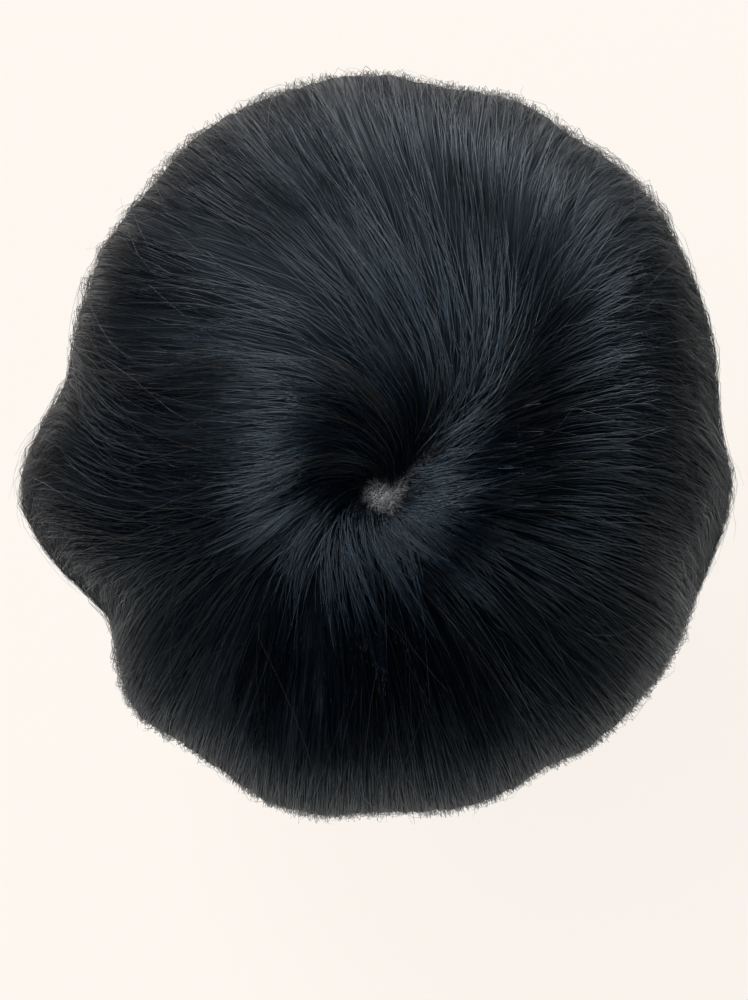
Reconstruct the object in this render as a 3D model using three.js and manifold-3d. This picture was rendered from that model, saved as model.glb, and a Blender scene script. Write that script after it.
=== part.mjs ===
// Short hair topper: a thin domed base that sits on the top of the head, hair tied into it that
// spreads from a whorl at the back of the crown, and four comb clips under the base's edge.
// Millimetres and degrees, +Z up, +Y towards the wearer's face, +X to the wearer's right.
// The origin is where the top of the head meets the inside of the base.

import * as THREE from "three";
import { mergeVertices } from "three/addons/utils/BufferGeometryUtils.js";
import Module from "manifold-3d";

const wasm = await Module();
wasm.setup();

// The head that the topper is made for
const HEAD_HALF_WIDTH = 76;
const HEAD_HALF_LENGTH = 95;
const HEAD_CROWN_HEIGHT = 100; // from the head's widest level up to its top
const WHORL_TILT = 42; // from the top of the head back to the whorl

// The base, and the room that the hair leaves above it
const BASE_WALL = 1.2;
const BASE_SPOKES = 36;
const BASE_RINGS = 9;
const HAIR_SEAT = BASE_WALL + 1.8; // the facets on both sides take up most of this room

// The room that a zone of hair is trimmed to
const ZONE_GAP = 0.4; // between two zones of hair
const ROOM_ROWS = 16;
const ROOM_MORE_COLUMNS = 5; // more columns than the zone has locks
const ROOM_END = 1.06; // just past the longest tips, as a share of the way
const ROOM_HEADROOM = 20; // above the hair

// Lie of the hair, as shares of its thickness and of its way from the whorl to its tips
const WHORL_LIFT = 2.2; // thickness of the hair where it leaves the whorl
const WHORL_ARC = 11; // arc over which it climbs out of the whorl to its full thickness
const WHORL_OPENING = 0.05; // share of the way that is left bare at the whorl
const CROWN_SHARE = 0.1;
const SHOULDER_SHARE = 0.4;
const SIDE_SHARE = 0.8;
const TIP_SHARE = 1.05;
const CLOSER_ROWS = 1.4; // power that sets rows of points closer together near the whorl
const BACKING_THICKNESS = 0.8; // the backing's share of the hair's thickness
const BACKING_LENGTH = 0.92; // the backing's share of the way, short of the tips
const BACKING_ROWS = 6;
const DRIFT_START = 15; // arc from the whorl at which a lock starts to drift
const DRIFT_END = 90; // arc by which it has made its whole drift

// One lock
const LOCK_NARROWS = 0.8; // share of a lock's length where it starts to narrow
const LOCK_SIDES = 6;
const LOCK_CREST = Math.sin(Math.PI / 3); // height of the section's two upper corners
const LOCK_RINGS = 6;
const LOCK_WIDTH = 0.96; // width of a lock against the room that it has
const LOCK_MIDDLE = 0.62; // height of a lock's middle, as a share of the hair's thickness
const LOCK_RAGGED = 0.07; // how far the tips of neighbouring locks differ, as a share of the way
const LOCK_STAGGER = 0.618; // step from one lock's length to the next, in turns of that range
const LOCK_TIP = 0.4; // a tip's width and thickness against the lock's own

// Comb clips
const CLIP_LENGTH = 30;
const CLIP_BAR = 4;
const CLIP_TOOTH = 9;
const CLIP_TEETH = 6;
const CLIP_TOOTH_WIDTH = 0.5; // as a share of the teeth's pitch
const CLIP_TOOTH_ROOT = 1; // how far a tooth runs into the bar
const CLIP_WALL = 1.2;
const CLIP_TOOTH_INSET = 0.2; // a tooth is thinner than the bar by this on each face
const CLIP_SEAT = 1.1; // from the base's inner face down to the clip
const CLIP_EDGE = 5; // from the base's edge to the clip's bar

// How far the base reaches from the whorl, by bearing round it: 0 is right, 90 is forward
const BASE_EDGE = [
  { bearing: 0, reach: 68 },
  { bearing: 90, reach: 97 },
  { bearing: 180, reach: 68 },
  { bearing: 270, reach: 37 },
];

// The hair's form by bearing: its reach, and its thickness on the crown, over the shoulder of
// the head, at its widest and at its tips, which turn in
const HAIR_FORM = [
  { bearing: 0, reach: 102, crown: 10, shoulder: 20, side: 28, tip: 8 },
  { bearing: 30, reach: 112, crown: 12, shoulder: 23, side: 30, tip: 8 },
  { bearing: 50, reach: 117, crown: 13.5, shoulder: 24, side: 33, tip: 8 },
  { bearing: 70, reach: 121, crown: 14, shoulder: 23, side: 28, tip: 8 },
  { bearing: 90, reach: 124, crown: 14.5, shoulder: 22, side: 24.5, tip: 8 },
  { bearing: 120, reach: 119, crown: 15, shoulder: 22, side: 24.5, tip: 8 },
  { bearing: 150, reach: 113, crown: 14, shoulder: 21, side: 24.5, tip: 8 },
  { bearing: 163, reach: 108, crown: 12.5, shoulder: 19, side: 23, tip: 8 },
  { bearing: 180, reach: 100, crown: 11, shoulder: 18, side: 31, tip: 12 },
  { bearing: 193, reach: 92, crown: 10, shoulder: 17, side: 22, tip: 9 },
  { bearing: 207, reach: 81, crown: 9, shoulder: 14, side: 13, tip: 5 },
  { bearing: 222, reach: 75, crown: 8.5, shoulder: 12, side: 24.5, tip: 5 },
  { bearing: 235, reach: 68, crown: 8, shoulder: 10, side: 22, tip: 4.5 },
  { bearing: 270, reach: 61, crown: 8, shoulder: 9.5, side: 19.5, tip: 4.5 },
  { bearing: 310, reach: 70, crown: 8.5, shoulder: 11, side: 24.5, tip: 5 },
  { bearing: 330, reach: 83, crown: 9, shoulder: 14, side: 26, tip: 6 },
  { bearing: 345, reach: 93, crown: 9.5, shoulder: 17, side: 25, tip: 7 },
];

// How far a lock's bearing drifts on its way out, by the bearing at which it leaves the whorl.
// Hair parts near 55, and falls to both sides from there.
const HAIR_DRIFT = [
  { bearing: 0, drift: -20 },
  { bearing: 20, drift: -32 },
  { bearing: 38, drift: -36 },
  { bearing: 55, drift: 0 },
  { bearing: 75, drift: 34 },
  { bearing: 95, drift: 46 },
  { bearing: 114, drift: 46 },
  { bearing: 135, drift: 35 },
  { bearing: 151, drift: 25 },
  { bearing: 167, drift: 14 },
  { bearing: 181, drift: 5 },
  { bearing: 195, drift: 0 },
  { bearing: 211, drift: 6 },
  { bearing: 233, drift: 10 },
  { bearing: 250, drift: 7 },
  { bearing: 270, drift: 1 },
  { bearing: 293, drift: -5 },
  { bearing: 320, drift: -10 },
  { bearing: 341, drift: -13 },
];

// Zones of hair by the bearings at which they leave the whorl, and the locks in each
const HAIR_ZONES = [
  { name: "hair_front_right", from: 20, to: 62, locks: 7 },
  { name: "hair_front_left", from: 62, to: 150, locks: 9 },
  { name: "hair_left_side", from: 150, to: 215, locks: 6 },
  { name: "hair_back", from: 215, to: 325, locks: 8 },
  { name: "hair_right_side", from: 325, to: 380, locks: 5 },
];

// Where each clip sits under the base's edge
const CLIPS = [
  { name: "clip_right", bearing: 0 },
  { name: "clip_front", bearing: 90 },
  { name: "clip_left", bearing: 180 },
  { name: "clip_back", bearing: 270 },
];

const rad = THREE.MathUtils.degToRad;
const HEAD_CENTRE = new THREE.Vector3(0, 0, -HEAD_CROWN_HEIGHT);
const WHORL_AXIS = new THREE.Vector3(0, -Math.sin(rad(WHORL_TILT)), Math.cos(rad(WHORL_TILT)));
const ACROSS = new THREE.Vector3(1, 0, 0);
const AHEAD = new THREE.Vector3(0, Math.cos(rad(WHORL_TILT)), Math.sin(rad(WHORL_TILT)));

// A smooth curve through values at rising stations, read at one place
function through(stations, values, at) {
  const last = stations.length - 1;
  let k = 0;
  while (k < last - 1 && at > stations[k + 1]) k += 1;
  const slope = (i) => {
    const a = Math.max(i - 1, 0);
    const b = Math.min(i + 1, last);
    return (values[b] - values[a]) / (stations[b] - stations[a]);
  };
  const span = stations[k + 1] - stations[k];
  const t = (at - stations[k]) / span;
  const held = values[k] * (1 + 2 * t) * (1 - t) ** 2 + values[k + 1] * t * t * (3 - 2 * t);
  return held + span * (slope(k) * t * (1 - t) ** 2 - slope(k + 1) * t * t * (1 - t));
}

// A column of a table of bearings, read smoothly at any bearing
function around(table, column, bearing) {
  const turn = THREE.MathUtils.euclideanModulo(bearing, 360);
  const laps = [-360, 0, 360].flatMap((lap) =>
    table.map((row) => ({ at: row.bearing + lap, value: row[column] })),
  );
  return through(
    laps.map((row) => row.at),
    laps.map((row) => row.value),
    turn,
  );
}

// The point at an arc from the whorl and a bearing round it, lifted off the head
function onHead(arc, bearing, lift) {
  const out = WHORL_AXIS.clone().multiplyScalar(Math.cos(rad(arc)));
  out.addScaledVector(ACROSS, Math.sin(rad(arc)) * Math.cos(rad(bearing)));
  out.addScaledVector(AHEAD, Math.sin(rad(arc)) * Math.sin(rad(bearing)));
  const scaled = new THREE.Vector3(
    out.x / HEAD_HALF_WIDTH,
    out.y / HEAD_HALF_LENGTH,
    out.z / HEAD_CROWN_HEIGHT,
  );
  return out.multiplyScalar(1 / scaled.length() + lift).add(HEAD_CENTRE);
}

// The hair's thickness at an arc and a bearing, and at a share of the way to its tips
function hairLift(arc, bearing, share) {
  const column = (name) => around(HAIR_FORM, name, bearing);
  const full = through(
    [CROWN_SHARE, SHOULDER_SHARE, SIDE_SHARE, TIP_SHARE],
    [column("crown"), column("shoulder"), column("side"), column("tip")],
    THREE.MathUtils.clamp(share, CROWN_SHARE, TIP_SHARE),
  );
  return THREE.MathUtils.lerp(WHORL_LIFT, full, THREE.MathUtils.smoothstep(arc, 0, WHORL_ARC));
}

// The point at a share of the way along the line of flow that leaves the whorl at a bearing.
// Its lift is a share of the hair's thickness there, plus a fixed height.
function onFlow(leaving, share, liftShare, height = 0) {
  const drift = around(HAIR_DRIFT, "drift", leaving);
  const arc = share * around(HAIR_FORM, "reach", leaving + drift);
  const bearing = leaving + drift * THREE.MathUtils.smoothstep(arc, DRIFT_START, DRIFT_END);
  return onHead(arc, bearing, hairLift(arc, bearing, share) * liftShare + height);
}

// A mesh geometry from points and triangles of point numbers
function geometryOf(points, triangles) {
  const geometry = new THREE.BufferGeometry().setFromPoints(points);
  geometry.setIndex(triangles.flat());
  return geometry;
}

// The four corners of a face as two triangles
const quad = (a, b, c, d) => [
  [a, b, c],
  [a, c, d],
];

// A closed patch between an inner and an outer face, each given as a grid of columns and rows
function patch(innerAt, outerAt, columns, rows) {
  const points = [];
  const triangles = [];
  for (const face of [innerAt, outerAt]) {
    for (let i = 0; i <= columns; i += 1) {
      for (let j = 0; j <= rows; j += 1) points.push(face(i / columns, j / rows));
    }
  }
  const layer = (columns + 1) * (rows + 1);
  const inner = (i, j) => i * (rows + 1) + j;
  const outer = (i, j) => layer + inner(i, j);
  for (let i = 0; i < columns; i += 1) {
    for (let j = 0; j < rows; j += 1) {
      triangles.push(...quad(outer(i, j), outer(i, j + 1), outer(i + 1, j + 1), outer(i + 1, j)));
      triangles.push(...quad(inner(i, j), inner(i + 1, j), inner(i + 1, j + 1), inner(i, j + 1)));
    }
    triangles.push(...quad(inner(i, 0), outer(i, 0), outer(i + 1, 0), inner(i + 1, 0)));
    triangles.push(...quad(inner(i, rows), inner(i + 1, rows), outer(i + 1, rows), outer(i, rows)));
  }
  for (let j = 0; j < rows; j += 1) {
    const far = columns;
    triangles.push(...quad(inner(0, j), inner(0, j + 1), outer(0, j + 1), outer(0, j)));
    triangles.push(...quad(inner(far, j), outer(far, j), outer(far, j + 1), inner(far, j + 1)));
  }
  return geometryOf(points, triangles);
}

// The base: an oval dome of even thickness, closed at the whorl and open below
function baseCap() {
  const points = [onHead(0, 0, 0), onHead(0, 0, BASE_WALL)];
  const triangles = [];
  for (let k = 1; k <= BASE_RINGS; k += 1) {
    for (let s = 0; s < BASE_SPOKES; s += 1) {
      const bearing = (360 * s) / BASE_SPOKES;
      const arc = (k / BASE_RINGS) * around(BASE_EDGE, "reach", bearing);
      points.push(onHead(arc, bearing, 0), onHead(arc, bearing, BASE_WALL));
    }
  }
  const inner = (k, s) => 2 + 2 * ((k - 1) * BASE_SPOKES + (s % BASE_SPOKES));
  const outer = (k, s) => inner(k, s) + 1;
  for (let s = 0; s < BASE_SPOKES; s += 1) {
    triangles.push([0, inner(1, s + 1), inner(1, s)], [1, outer(1, s), outer(1, s + 1)]);
    for (let k = 1; k < BASE_RINGS; k += 1) {
      triangles.push(...quad(inner(k, s), inner(k, s + 1), inner(k + 1, s + 1), inner(k + 1, s)));
      triangles.push(...quad(outer(k, s), outer(k + 1, s), outer(k + 1, s + 1), outer(k, s + 1)));
    }
    const rim = BASE_RINGS;
    triangles.push(...quad(inner(rim, s), inner(rim, s + 1), outer(rim, s + 1), outer(rim, s)));
  }
  return geometryOf(points, triangles);
}

// One lock: a lens-shaped section carried along a line of flow, thinning to a blunt tip
function lock(leaving, halfRoom, end) {
  const points = [];
  const triangles = [];
  const ring = (k, s) => k * LOCK_SIDES + (s % LOCK_SIDES);
  for (let k = 0; k < LOCK_RINGS; k += 1) {
    const along = (k / (LOCK_RINGS - 1)) ** CLOSER_ROWS;
    const share = THREE.MathUtils.lerp(WHORL_OPENING, end, along);
    const full = THREE.MathUtils.lerp(1, LOCK_TIP, THREE.MathUtils.smoothstep(along, LOCK_NARROWS, 1));
    for (let s = 0; s < LOCK_SIDES; s += 1) {
      const turn = (2 * Math.PI * s) / LOCK_SIDES;
      const aside = LOCK_WIDTH * halfRoom * full * Math.cos(turn);
      const rise = LOCK_MIDDLE + (1 - LOCK_MIDDLE) * full * (Math.sin(turn) / LOCK_CREST);
      points.push(onFlow(leaving + aside, share, rise));
    }
  }
  const root = points.length;
  const tip = root + 1;
  points.push(onFlow(leaving, WHORL_OPENING, LOCK_MIDDLE), onFlow(leaving, end, LOCK_MIDDLE));
  for (let s = 0; s < LOCK_SIDES; s += 1) {
    const last = LOCK_RINGS - 1;
    triangles.push([root, ring(0, s + 1), ring(0, s)], [tip, ring(last, s), ring(last, s + 1)]);
    for (let k = 0; k < last; k += 1) {
      triangles.push(...quad(ring(k, s), ring(k, s + 1), ring(k + 1, s + 1), ring(k + 1, s)));
    }
  }
  return geometryOf(points, triangles);
}

// A closed geometry as a solid that can be joined and cut
function solidOf(geometry) {
  const bare = geometry.clone();
  bare.deleteAttribute("normal");
  bare.deleteAttribute("uv");
  const merged = mergeVertices(bare);
  return new wasm.Manifold(
    new wasm.Mesh({
      numProp: 3,
      vertProperties: new Float32Array(merged.attributes.position.array),
      triVerts: new Uint32Array(merged.index.array),
    }),
  );
}

// A solid as a mesh geometry again
function geometryFrom(solid) {
  const { vertProperties, triVerts } = solid.getMesh();
  const geometry = new THREE.BufferGeometry();
  geometry.setAttribute("position", new THREE.BufferAttribute(vertProperties, 3));
  geometry.setIndex(new THREE.BufferAttribute(triVerts, 1));
  return geometry;
}

// One zone of hair: locks fused to a backing, trimmed clear of the base and of the next zones
function hairZone(zone) {
  const room = (zone.to - zone.from) / zone.locks;
  const leaving = (u) => THREE.MathUtils.lerp(zone.from, zone.to, u);
  const share = (v) => THREE.MathUtils.lerp(WHORL_OPENING, BACKING_LENGTH, v ** CLOSER_ROWS);
  const backing = patch(
    (u, v) => onFlow(leaving(u), share(v), 0),
    (u, v) => onFlow(leaving(u), share(v), BACKING_THICKNESS),
    zone.locks,
    BACKING_ROWS,
  );
  let hair = solidOf(backing);
  for (let n = 0; n < zone.locks; n += 1) {
    const longer = LOCK_RAGGED * (((n * LOCK_STAGGER) % 1) - 0.5);
    const piece = lock(leaving((n + 0.5) / zone.locks), room / 2, 1 + longer);
    hair = hair.add(solidOf(piece));
  }
  return geometryFrom(hair.intersect(solidOf(zoneRoom(zone))));
}

// The room of one zone: from just above the base to well clear of the hair, and half a gap
// inside the zone's two sides
function zoneRoom(zone) {
  const share = (v) => THREE.MathUtils.lerp(WHORL_OPENING / 2, ROOM_END, v);
  const leaving = (u, v) => {
    const spot = onFlow((zone.from + zone.to) / 2, share(v), 1);
    const fromAxis = spot.sub(HEAD_CENTRE).cross(WHORL_AXIS).length();
    const inset = THREE.MathUtils.radToDeg(ZONE_GAP / 2 / fromAxis);
    return THREE.MathUtils.lerp(zone.from + inset, zone.to - inset, u);
  };
  return patch(
    (u, v) => onFlow(leaving(u, v), share(v), 0, HAIR_SEAT),
    (u, v) => onFlow(leaving(u, v), share(v), 1, ROOM_HEADROOM),
    zone.locks + ROOM_MORE_COLUMNS,
    ROOM_ROWS,
  );
}

// One comb clip: a bar that follows the base's edge, with teeth towards the whorl
function clip(bearing) {
  const edge = around(BASE_EDGE, "reach", bearing);
  const radius = onHead(edge, bearing, 0).sub(HEAD_CENTRE).length();
  const degrees = (length) => THREE.MathUtils.radToDeg(length / radius);
  const sweep = degrees(CLIP_LENGTH) / Math.sin(rad(edge - degrees(CLIP_EDGE)));
  const plate = (turnFrom, turnTo, near, far, inset, columns) => {
    const face = (depth) => (u, v) =>
      onHead(
        edge - degrees(THREE.MathUtils.lerp(far, near, v)),
        bearing + sweep * THREE.MathUtils.lerp(turnFrom, turnTo, u),
        -depth,
      );
    return solidOf(patch(face(CLIP_SEAT + CLIP_WALL - inset), face(CLIP_SEAT + inset), columns, 1));
  };
  const barEnd = CLIP_EDGE + CLIP_BAR;
  const toothEnd = barEnd + CLIP_TOOTH;
  const pitch = 1 / CLIP_TEETH;
  let comb = plate(-0.5, 0.5, CLIP_EDGE, barEnd, 0, CLIP_TEETH);
  for (let n = 0; n < CLIP_TEETH; n += 1) {
    const left = -0.5 + (n + (1 - CLIP_TOOTH_WIDTH) / 2) * pitch;
    const right = left + CLIP_TOOTH_WIDTH * pitch;
    comb = comb.add(plate(left, right, barEnd - CLIP_TOOTH_ROOT, toothEnd, CLIP_TOOTH_INSET, 1));
  }
  return geometryFrom(comb);
}

// Finishes
const hairFinish = new THREE.MeshStandardMaterial({ color: 0x14171c, roughness: 0.45, metalness: 0 });
const baseFinish = new THREE.MeshStandardMaterial({ color: 0xa79c94, roughness: 0.7, metalness: 0 });
const clipFinish = new THREE.MeshStandardMaterial({ color: 0x2a2420, roughness: 0.35, metalness: 0.6 });

function named(name, geometry, finish) {
  const mesh = new THREE.Mesh(geometry, finish);
  mesh.name = name;
  return mesh;
}

const topper = new THREE.Group();
topper.add(named("base_cap", baseCap(), baseFinish));
for (const zone of HAIR_ZONES) topper.add(named(zone.name, hairZone(zone), hairFinish));
for (const { name, bearing } of CLIPS) topper.add(named(name, clip(bearing), clipFinish));

export default topper;
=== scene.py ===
"""Looks of a short black hair topper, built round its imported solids.

Metres in the solids' own frame: +Z up, +Y forward, +X to the right. The origin is where the top of the oval
form that the topper is shaped to meets the inside of the base. Places on the hair are given by an arc from
the whorl and a bearing round it, in degrees: bearing 0 is right, 90 is forward.
"""

import logging
import math
from dataclasses import dataclass
from enum import Enum
from typing import Callable, NamedTuple

import bmesh
import bpy
import numpy as np
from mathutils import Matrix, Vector


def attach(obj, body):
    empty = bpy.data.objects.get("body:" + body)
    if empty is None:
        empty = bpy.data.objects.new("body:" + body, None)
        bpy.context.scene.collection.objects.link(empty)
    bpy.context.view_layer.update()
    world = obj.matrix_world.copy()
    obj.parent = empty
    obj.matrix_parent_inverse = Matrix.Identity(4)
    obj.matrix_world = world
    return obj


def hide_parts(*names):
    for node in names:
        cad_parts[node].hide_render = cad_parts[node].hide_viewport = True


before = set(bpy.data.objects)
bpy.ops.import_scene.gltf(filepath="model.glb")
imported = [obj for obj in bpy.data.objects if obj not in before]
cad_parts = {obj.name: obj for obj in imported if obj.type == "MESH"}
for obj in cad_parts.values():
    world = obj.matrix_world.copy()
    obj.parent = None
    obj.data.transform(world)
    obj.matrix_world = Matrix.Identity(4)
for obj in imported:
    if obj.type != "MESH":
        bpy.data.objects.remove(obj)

log = logging.getLogger("hair_topper")

MM = 0.001
TINY = 1e-12
CLOSE = 1e-6
Array = np.ndarray
Span = tuple[float, float]
Colour = tuple[float, float, float, float]
Socket = bpy.types.NodeSocket


class FormRow(NamedTuple):
    """The hair's form at one bearing: its reach as an arc, and its thickness in millimetres on the way."""

    bearing: float
    reach: float
    crown: float
    shoulder: float
    side: float
    tip: float


class FlowRow(NamedTuple):
    """How far the hair turns from straight outwards, anticlockwise, at a few arcs along one bearing."""

    bearing: float
    near: float
    crown: float
    far: float
    rim: float
    edge: float


HAIR_FORM: tuple[FormRow, ...] = tuple(
    FormRow(*row)
    for row in (
        (0, 102, 10, 20, 28, 8), (30, 112, 12, 23, 30, 8), (50, 117, 13.5, 24, 33, 8),
        (70, 121, 14, 23, 28, 8), (90, 124, 14.5, 22, 24.5, 8), (120, 119, 15, 22, 24.5, 8),
        (150, 113, 14, 21, 24.5, 8), (163, 108, 12.5, 19, 23, 8), (180, 100, 11, 18, 31, 12),
        (193, 92, 10, 17, 22, 9), (207, 81, 9, 14, 13, 5), (222, 75, 8.5, 12, 24.5, 5),
        (235, 68, 8, 10, 22, 4.5), (270, 61, 8, 9.5, 19.5, 4.5), (310, 70, 8.5, 11, 24.5, 5),
        (330, 83, 9, 14, 26, 6), (345, 93, 9.5, 17, 25, 7),
    )
)

HAIR_FLOW: tuple[FlowRow, ...] = tuple(
    FlowRow(*row)
    for row in (
        (0, 0, 0, -20, -38, -60), (20, -5, -8, -22, -36, -50), (36, -8, -10, -18, -26, -40),
        (44, 0, 2, -12, -18, -30), (52, 22, 22, -4, -10, -20), (62, 32, 33, 2, -3, -10),
        (74, 37, 36, 6, 0, -4), (95, 40, 29, 10, 4, 2), (120, 45, 40, 15, 6, 5),
        (145, 38, 34, 13, 9, 18), (165, 30, 18, -16, 10, 70), (178, 26, 10, -14, 60, 100),
        (190, 25, 8, 2, 80, 110), (205, 25, 14, 24, 45, 60), (216, 32, 20, 15, 22, 25),
        (228, 38, 24, 9, 8, 8), (245, 35, 21, 5, 3, 2), (270, 24, 8, 0, 0, 0), (300, 12, 0, -3, -3, -3),
        (320, 0, -6, -5, -7, -9), (340, -5, -4, -10, -40, -55), (350, -2, -2, -15, -60, -80),
    )
)


class LobeRow(NamedTuple):
    """How far the hair's edge stands out from its even form at one bearing, in millimetres."""

    bearing: float
    out: float


LOBES: tuple[LobeRow, ...] = tuple(
    LobeRow(*row)
    for row in (
        (0, 0.0), (10, -4.0), (20, -2.2), (40, -1.5), (52, -2.2), (60, -3.5), (70, -1.5), (80, -4.2),
        (90, -1.5), (105, -0.5), (120, 0.0), (130, -1.0), (140, -0.3), (152, -2.2), (161, -3.0),
        (171, -1.2), (182, 0.4), (190, 1.2), (202, 0.2), (213, -0.5), (222, -3.0), (240, -2.8),
        (250, 0.8), (260, 1.4), (270, -1.2), (282, -0.8), (292, -1.8), (300, -4.0), (310, -2.0),
        (325, -2.4), (340, -2.6), (350, -0.6),
    )
)


def hermite(low: Array, high: Array, slope_low: Array, slope_high: Array, span: Array, t: Array) -> Array:
    """Reads a cubic between two stations.

    Args:
        low: Values at the first station.
        high: Values at the second station.
        slope_low: Slopes at the first station.
        slope_high: Slopes at the second station.
        span: Distance between the stations.
        t: Where to read, 0 to 1.

    Returns:
        The values there.
    """
    held = low * (1 + 2 * t) * (1 - t) ** 2 + high * t * t * (3 - 2 * t)
    return held + span * (slope_low * t * (1 - t) ** 2 - slope_high * t * t * (1 - t))


def around(bearings: Array, values: Array, at: Array) -> Array:
    """Reads a column of a table of bearings smoothly, all the way round.

    Args:
        bearings: The rows' bearings, rising.
        values: The column.
        at: Bearings to read.

    Returns:
        The values there.
    """
    stations = np.concatenate([bearings - 360, bearings, bearings + 360])
    column = np.tile(values, 3)
    slopes = np.empty_like(column)
    slopes[1:-1] = (column[2:] - column[:-2]) / (stations[2:] - stations[:-2])
    slopes[[0, -1]] = 0.0
    turn = np.mod(at, 360.0)
    k = np.clip(np.searchsorted(stations, turn, side="right") - 1, 0, len(stations) - 2)
    span = stations[k + 1] - stations[k]
    return hermite(column[k], column[k + 1], slopes[k], slopes[k + 1], span, (turn - stations[k]) / span)


def through(stations: tuple[float, ...], values: list[Array], at: Array) -> Array:
    """Reads a smooth curve through values at a few stations.

    Args:
        stations: Where the values stand, rising.
        values: One array for each station.
        at: Where to read.

    Returns:
        The values there, held before the first station and past the last.
    """
    at = np.clip(at, stations[0], stations[-1])
    last = len(stations) - 1
    slopes = []
    for i in range(len(stations)):
        a, b = max(i - 1, 0), min(i + 1, last)
        slopes.append((values[b] - values[a]) / (stations[b] - stations[a]))
    result = np.zeros(np.broadcast(at, values[0]).shape)
    for k in range(last):
        low = -np.inf if k == 0 else stations[k]
        high = np.inf if k == last - 1 else stations[k + 1]
        span = stations[k + 1] - stations[k]
        t = (at - stations[k]) / span
        part = hermite(values[k], values[k + 1], slopes[k], slopes[k + 1], span, t)
        result = np.where((at >= low) & (at < high), part, result)
    return result


def read(table: tuple[tuple[float, ...], ...], first: int, bearing: Array) -> list[Array]:
    """Reads a table's columns, from one of them on, smoothly by bearing."""
    rows = np.array(table)
    return [around(rows[:, 0], rows[:, i], bearing) for i in range(first, rows.shape[1])]


def smoothstep(low: float, high: float, at: Array) -> Array:
    """Eases from 0 at low to 1 at high."""
    t = np.clip((at - low) / (high - low), 0.0, 1.0)
    return t * t * (3 - 2 * t)


def unit(vectors: Array) -> Array:
    """Scales vectors to length 1."""
    return vectors / (np.linalg.norm(vectors, axis=-1, keepdims=True) + TINY)


def apart(bearing: Array, middle: float) -> Array:
    """How far bearings lie from one bearing, anticlockwise, from -180 to 180 degrees."""
    return np.mod(bearing - middle + 180.0, 360.0) - 180.0


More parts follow.
